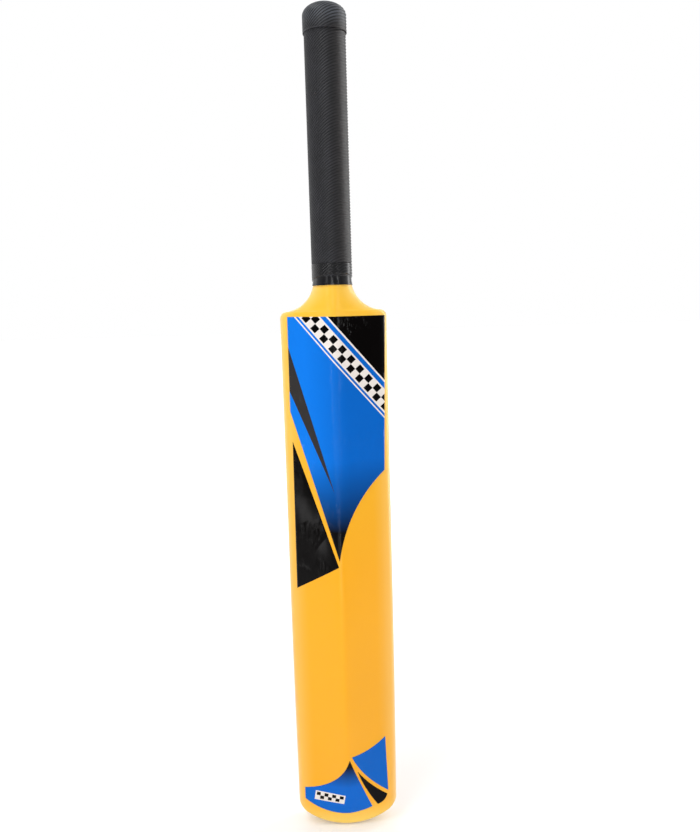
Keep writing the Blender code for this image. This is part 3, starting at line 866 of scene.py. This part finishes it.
def make_sticker(node, outline, shapes, inks):
    """Thin printed vinyl that lies on the moulding's face or back. inks has a material for each ink's name,
    the plain one first."""
    form = make_sheet(outline)
    trim(form, outline)
    print_shapes(form, shapes, inks)
    lay_down(form, not node.startswith("face"))
    mesh = bpy.data.meshes.new(node + "_vinyl")
    form.to_mesh(mesh)
    form.free()
    for material in inks.values():
        mesh.materials.append(material)
    item = add_item(node + "_vinyl", mesh)
    wall = item.modifiers.new("wall", "SOLIDIFY")
    wall.thickness = VINYL_THICKNESS
    wall.offset = -1
    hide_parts(node)


def panel_prints():
    """The shapes printed on both panels, as (ink, edged, corners)."""
    length = BAND_CHECKS * CHECK
    shapes = [
        ("grey", False, STRIPE),
        ("black", True, bar(LEAN_START, LEAN, (0.0, length), (-length, 0.0))),
        ("pale", False, bar(LEAN_START, LEAN, (0.0, length), LINE)),
    ]
    return shapes + chequers(leaning(LEAN_START, LEAN, *BAND_START), LEAN, CHECK, BAND_CHECKS)


def make_stickers():
    black = vinyl_material("black_vinyl_gloss", BLACK)
    grey = vinyl_material("grey_vinyl_gloss", GREY)
    pale = vinyl_material("pale_vinyl_gloss", PALE)
    # The back's blue has painted light, brighter towards +X
    back_blue = vinyl_material("back_blue_vinyl", BACK_BLUE, BACK_FADE, lit_side_blue=BACK_LIT_SIDE_BLUE)
    face_blue = vinyl_material("face_blue_vinyl", FACE_BLUE, FACE_FADE, FACE_FADE_SLANT)
    toe_blue = vinyl_material("toe_blue_vinyl", TOE_BLUE, TOE_FADE)
    plain_blue = vinyl_material("plain_blue_vinyl", PLAIN_BLUE)
    toe_prints = chequers(TOE_START, TOE_LEAN, TOE_CHECK, TOE_CHECKS)
    panels = (
        ("face_panel_decal", FACE_PANEL, panel_prints(), face_blue),
        ("back_panel_decal", BACK_PANEL, panel_prints(), back_blue),
        ("toe_left_decal", TOE_LEFT, toe_prints, toe_blue),
        ("toe_right_decal", TOE_RIGHT, (), plain_blue),
    )
    for node, outline, shapes, blue in panels:
        inks = {"blue": blue, "black": black, "grey": grey, "pale": pale}
        make_sticker(node, outline, shapes, inks)
    bars = (("face_bar_decal", FACE_BAR), ("back_bar_decal", BACK_BAR), ("toe_bar_decal", TOE_BAR))
    for node, outline in bars:
        make_sticker(node, outline, (), {"black": black})


def new_material(name, roughness, colour):
    """A Principled material, and its nodes, links and shader."""
    material = bpy.data.materials.new(name)
    material.use_nodes = True
    tree = material.node_tree
    shader = tree.nodes["Principled BSDF"]
    shader.inputs["Roughness"].default_value = roughness
    shader.inputs["Base Color"].default_value = (*colour, 1.0)
    return material, tree, shader


def add_node(tree, kind, **settings):
    """A shader node of this kind, with these settings."""
    node = tree.nodes.new("ShaderNode" + kind)
    for name, value in settings.items():
        setattr(node, name, value)
    return node


def object_place(tree):
    """The place in the object's own space, as a vector."""
    return add_node(tree, "TexCoord").outputs["Object"]


def axes_of(tree, vector):
    """The X, Y and Z outputs of a vector."""
    node = add_node(tree, "SeparateXYZ")
    tree.links.new(vector, node.inputs["Vector"])
    return node.outputs


def object_noise(tree, scale, detail=2.0, stretch=(1.0, 1.0, 1.0)):
    """Noise in the object's own space, as a value around a half."""
    mapping = add_node(tree, "Mapping")
    mapping.inputs["Scale"].default_value = stretch
    noise = add_node(tree, "TexNoise")
    noise.inputs["Scale"].default_value = scale
    noise.inputs["Detail"].default_value = detail
    tree.links.new(object_place(tree), mapping.inputs["Vector"])
    tree.links.new(mapping.outputs["Vector"], noise.inputs["Vector"])
    return noise.outputs["Fac"]


def combine(tree, operation, first, second):
    """The result of this operation on two values."""
    node = add_node(tree, "Math", operation=operation)
    tree.links.new(first, node.inputs[0])
    tree.links.new(second, node.inputs[1])
    return node.outputs[0]


def map_range(tree, value, span, to=(0.0, 1.0)):
    """A value carried from one span to another, and held at its ends."""
    node = add_node(tree, "MapRange")
    for socket, number in zip(("From Min", "From Max", "To Min", "To Max"), span + to):
        node.inputs[socket].default_value = number
    tree.links.new(value, node.inputs["Value"])
    return node.outputs["Result"]


def mix_colours(tree, factor, first, second):
    """A colour from the first to the second by this factor. Each is a plain colour or a socket."""
    node = add_node(tree, "Mix", data_type="RGBA")
    for socket, colour in ((6, first), (7, second)):
        if isinstance(colour, tuple):
            node.inputs[socket].default_value = (*colour, 1.0)
        else:
            tree.links.new(colour, node.inputs[socket])
    tree.links.new(factor, node.inputs[0])
    return node.outputs[2]


def mix_numbers(tree, factor, first, second):
    """A value from the first to the second by this factor. Each is a plain number or a socket."""
    node = add_node(tree, "Mix", data_type="FLOAT")
    for socket, value in (("A", first), ("B", second)):
        if isinstance(value, float):
            node.inputs[socket].default_value = value
        else:
            tree.links.new(value, node.inputs[socket])
    tree.links.new(factor, node.inputs["Factor"])
    return node.outputs["Result"]


def add_bump(tree, height, distance, strength, under=None):
    """A bump as a normal, over another one if given."""
    node = add_node(tree, "Bump")
    node.inputs["Distance"].default_value = distance
    node.inputs["Strength"].default_value = strength
    tree.links.new(height, node.inputs["Height"])
    if under:
        tree.links.new(under, node.inputs["Normal"])
    return node.outputs["Normal"]


def moulding_material():
    """Golden yellow polyethylene: satin and a little waxy, with a fine grain and soft cloudy variation. Light
    is
    painted into its colour: it is paler towards the neck, with painted highlights along the back's edges and
    on the toe's rim."""
    material, tree, shader = new_material("yellow_polyethylene", 0.32, (0.92, 0.40, 0.004))
    shader.inputs["Specular IOR Level"].default_value = 0.35
    shader.inputs["Sheen Weight"].default_value = 0.60
    shader.inputs["Sheen Roughness"].default_value = 0.30
    cloud = object_noise(tree, 9.0, 3.0, (1.0, 1.0, 0.4))
    shade = map_range(tree, cloud, (0.2, 0.8))
    colour = mix_colours(tree, shade, *YELLOW_CLOUDS)
    height = axes_of(tree, object_place(tree))["Z"]
    # Painted light: the yellow turns paler towards the neck, as if lit more strongly there
    up = map_range(tree, height, NECKWARD_PAINTED_LIGHT_SPAN)
    colour = mix_colours(tree, up, colour, YELLOW_NECK_PAINTED_LIGHT)
    # Painted highlight on the long edges, only where the surface faces the back
    edge = add_node(tree, "Attribute", attribute_name="edge")
    normal = add_node(tree, "NewGeometry").outputs["Normal"]
    on_back = map_range(tree, axes_of(tree, normal)["Y"], (0.05, 0.50))
    pale = mix_colours(tree, up, *YELLOW_EDGE_HIGHLIGHTS)
    colour = mix_colours(tree, combine(tree, "MULTIPLY", edge.outputs["Fac"], on_back), colour, pale)
    # Painted highlight on the toe's rim, paler towards the floor
    toe_rim_highlight = map_range(tree, height, TOE_RIM_HIGHLIGHT_SPAN)
    colour = mix_colours(tree, toe_rim_highlight, colour, YELLOW_TOE_RIM_HIGHLIGHT)
    tree.links.new(colour, shader.inputs["Base Color"])
    tree.links.new(map_range(tree, cloud, (0.2, 0.8), (0.25, 0.36)), shader.inputs["Roughness"])
    soft = add_bump(tree, object_noise(tree, 22.0, 1.0, (1.0, 1.0, 0.35)), 0.0012, 0.35)
    fine = add_bump(tree, object_noise(tree, 900.0, 2.0), 0.00004, 0.6, soft)
    tree.links.new(fine, shader.inputs["Normal"])
    return material


def rubber_material(name, dome=None):
    """Matt rubber, with painted shade in the grooves and a painted highlight on the crests of its ribs,
    bluish towards +x and browner towards -x. It may have a painted highlight on the dome of the end cap."""
    material, tree, shader = new_material(name, 0.50, RUBBER_AND_CREST_HIGHLIGHT)
    shader.inputs["Specular IOR Level"].default_value = 0.35
    axes = axes_of(tree, object_place(tree))
    # Crests bluish towards +x with a painted highlight, browner towards -x
    colour = mix_colours(tree, map_range(tree, axes["X"], BROWNER_SIDE_SPAN), RUBBER_AND_CREST_HIGHLIGHT, RUBBER_BROWNER_SIDE)
    if dome:
        # Painted highlight on the dome of the end cap
        colour = mix_colours(tree, map_range(tree, axes["Z"], DOME_HIGHLIGHT_SPAN), colour, dome)
    cloud = map_range(tree, object_noise(tree, 60.0, 3.0), (0.35, 0.70), (0.75, 1.30))
    worn = add_node(tree, "VectorMath", operation="SCALE")
    tree.links.new(colour, worn.inputs[0])
    tree.links.new(cloud, worn.inputs["Scale"])
    # Painted shade in the grooves, and the crests' tone with a painted highlight
    crest = add_node(tree, "Attribute", attribute_name="crest")
    ridge = map_range(tree, crest.outputs["Fac"], (0.25, 0.95))
    colour = mix_colours(tree, ridge, RUBBER_GROOVE_SHADE, worn.outputs[0])
    tree.links.new(colour, shader.inputs["Base Color"])
    fine = add_bump(tree, object_noise(tree, 1400.0, 2.0), 0.00004, 0.5)
    tree.links.new(fine, shader.inputs["Normal"])
    return material


def tape_material():
    """Glossy black tape, a little smeared up and down."""
    material, tree, shader = new_material("black_tape_gloss", 0.2, (0.008, 0.008, 0.009))
    shader.inputs["Specular IOR Level"].default_value = 0.30
    smear = object_noise(tree, 120.0, 2.0, (1.0, 1.0, 3.0))
    tree.links.new(map_range(tree, smear, (0.3, 0.7), (0.18, 0.28)), shader.inputs["Roughness"])
    tree.links.new(add_bump(tree, smear, 0.0001, 0.3), shader.inputs["Normal"])
    return material


def vinyl_material(name, colour, fade=None, slant=0.0, lit_side_blue=None):
    """Glossy vinyl with creases and bubbles in patches. Its ink may fade to near black over a span of height,
    on a slant if asked, and carry painted light, brighter towards +X."""
    material, tree, shader = new_material(name, 0.25, colour)
    shader.inputs["Specular IOR Level"].default_value = 0.09
    if lit_side_blue:
        # Painted light: the ink turns brighter towards +X
        side = map_range(tree, axes_of(tree, object_place(tree))["X"], LIT_SIDE_SPAN)
        colour = mix_colours(tree, side, colour, lit_side_blue)
    if fade:
        along = add_node(tree, "VectorMath", operation="DOT_PRODUCT")
        along.inputs[1].default_value = (slant, 0.0, 1.0)
        tree.links.new(object_place(tree), along.inputs[0])
        share = map_range(tree, along.outputs["Value"], fade)
        colour = mix_colours(tree, share, NEAR_BLACK, colour)
    if lit_side_blue or fade:
        tree.links.new(colour, shader.inputs["Base Color"])
    ripple = object_noise(tree, 38.0, 2.0, (1.0, 1.0, 0.4))
    tree.links.new(map_range(tree, ripple, (0.3, 0.7), (0.07, 0.15)), shader.inputs["Roughness"])
    creases = object_noise(tree, 170.0, 3.0, (1.0, 1.0, 0.6))
    patches = map_range(tree, object_noise(tree, 26.0, 1.0), (0.46, 0.62))
    broad = add_bump(tree, ripple, 0.0005, 0.4)
    small = add_bump(tree, combine(tree, "MULTIPLY", creases, patches), 0.0010, 0.8, broad)
    tree.links.new(small, shader.inputs["Normal"])
    return material


def add_area(name, size, power, place_at, aim=BAT_MIDDLE):
    """A lamp of this width and height and this many watts, which the camera doesn't see."""
    lamp = bpy.data.lights.new(name, "AREA")
    lamp.shape = "RECTANGLE"
    lamp.size, lamp.size_y = size
    lamp.energy = power
    item = bpy.data.objects.new(name, lamp)
    item.location = place_at
    item.visible_camera = False
    item.rotation_euler = (Vector(aim) - Vector(place_at)).to_track_quat("-Z", "Y").to_euler()
    bpy.context.scene.collection.objects.link(item)


def seen_directly(tree):
    """1 where the camera, a mirror reflection or clear glass looks at it, else 0."""
    path = add_node(tree, "LightPath")
    seen = combine(tree, "MAXIMUM", path.outputs["Is Camera Ray"], path.outputs["Is Glossy Ray"])
    return combine(tree, "MAXIMUM", seen, path.outputs["Is Transmission Ray"])


def build_world():
    """White surroundings, pure white for the camera and dimmer on its own side in reflections."""
    world = bpy.data.worlds.new("studio")
    bpy.context.scene.world = world
    world.use_nodes = True
    tree = world.node_tree
    background = tree.nodes["Background"]
    background.inputs["Color"].default_value = (1.0, 1.0, 1.0, 1.0)
    direction = add_node(tree, "TexCoord").outputs["Generated"]
    mirrored = map_range(tree, axes_of(tree, direction)["Y"], (-0.1, 0.6), (1.0, DIM_REFLECTION))
    path = add_node(tree, "LightPath")
    shown = mix_numbers(tree, path.outputs["Is Camera Ray"], mirrored, 1.0)
    strength = mix_numbers(tree, seen_directly(tree), AMBIENT, shown)
    tree.links.new(strength, background.inputs["Strength"])


def floor_material():
    """Pale floor that glows to white away from the bat. It glows for the camera, and on its far side for
    reflections too."""
    material, tree, shader = new_material("floor_white", 0.5, (0.82, 0.82, 0.82))
    away = add_node(tree, "VectorMath", operation="LENGTH")
    tree.links.new(object_place(tree), away.inputs[0])
    level = map_range(tree, away.outputs["Value"], GLOW_DISTANCES, GLOW_STRENGTHS)
    far_side = map_range(tree, axes_of(tree, object_place(tree))["Y"], (0.1, 0.6), (1.0, 0.0))
    path = add_node(tree, "LightPath")
    mirrored = combine(tree, "MULTIPLY", path.outputs["Is Glossy Ray"], far_side)
    seen = combine(tree, "MAXIMUM", path.outputs["Is Camera Ray"], mirrored)
    glow = add_node(tree, "Emission")
    tree.links.new(combine(tree, "MULTIPLY", level, seen), glow.inputs["Strength"])
    both = add_node(tree, "AddShader")
    tree.links.new(shader.outputs["BSDF"], both.inputs[0])
    tree.links.new(glow.outputs["Emission"], both.inputs[1])
    tree.links.new(both.outputs["Shader"], tree.nodes["Material Output"].inputs["Surface"])
    return material


def build_floor():
    corners = [(x * FLOOR_REACH, y * FLOOR_REACH, 0.0) for x, y in ((-1, -1), (1, -1), (1, 1), (-1, 1))]
    mesh = bpy.data.meshes.new("floor")
    mesh.from_pydata(corners, [], [(0, 1, 2, 3)])
    mesh.materials.append(floor_material())
    floor = bpy.data.objects.new("floor", mesh)
    bpy.context.scene.collection.objects.link(floor)


def build_lamps():
    """Soft studio lamps, and narrow strips for the long glints on the edges, the ridge and the tape."""
    add_area("left_softbox", (0.9, 0.9), 12.4, (0.80, 0.95, 1.95))
    add_area("right_softbox", (0.8, 0.8), 3.0, (-0.80, 0.95, 1.70))
    add_area("top_softbox", (0.45, 0.35), 4.5, (0.55, 0.25, 2.00), (0.0, 0.0, 0.50))
    add_area("left_strip", (0.30, 1.6), 1.8, (0.85, -0.38, 0.75))
    add_area("right_strip", (0.30, 1.6), 7.5, (-0.85, -0.38, 0.75))
    add_area("low_softbox", (0.9, 0.25), 1.6, (0.15, 1.0, 0.22), (0.0, 0.0, 0.05))
    add_area("ridge_strip", (0.014, 0.9), 2.2, (0.02, 1.5, 0.40))
    add_area("near_left_strip", (0.03, 0.5), 0.8, (0.62, 0.95, 0.60), (0.0, 0.0, 0.60))
    add_area("near_right_strip", (0.03, 0.5), 0.8, (-0.62, 0.95, 0.60), (0.0, 0.0, 0.60))
    add_area("glint_strip", (0.03, 0.5), 0.35, (1.09, 0.58, 0.28), (0.0, 0.0, 0.42))
    add_area("front_softbox", (1.2, 1.2), 5.2, (0.2, -1.4, 1.2))


def build_camera():
    lens = bpy.data.cameras.new("camera")
    lens.sensor_fit = "VERTICAL"
    lens.sensor_height = SENSOR_HEIGHT
    lens.lens = FOCAL_PIXELS * SENSOR_HEIGHT / PICTURE_HEIGHT
    camera = bpy.data.objects.new("camera", lens)
    camera.location = CAMERA_PLACE
    camera.rotation_euler = CAMERA_TURN
    bpy.context.scene.collection.objects.link(camera)
    bpy.context.scene.camera = camera
    bpy.context.scene.view_settings.view_transform = "Standard"


build_camera()
build_world()
build_floor()
build_lamps()
make_moulding(moulding_material())
make_sleeve(rubber_material("grip_rubber_black"))
make_cap(rubber_material("cap_rubber_black", RUBBER_DOME_HIGHLIGHT))
make_tape(tape_material())
make_stickers()
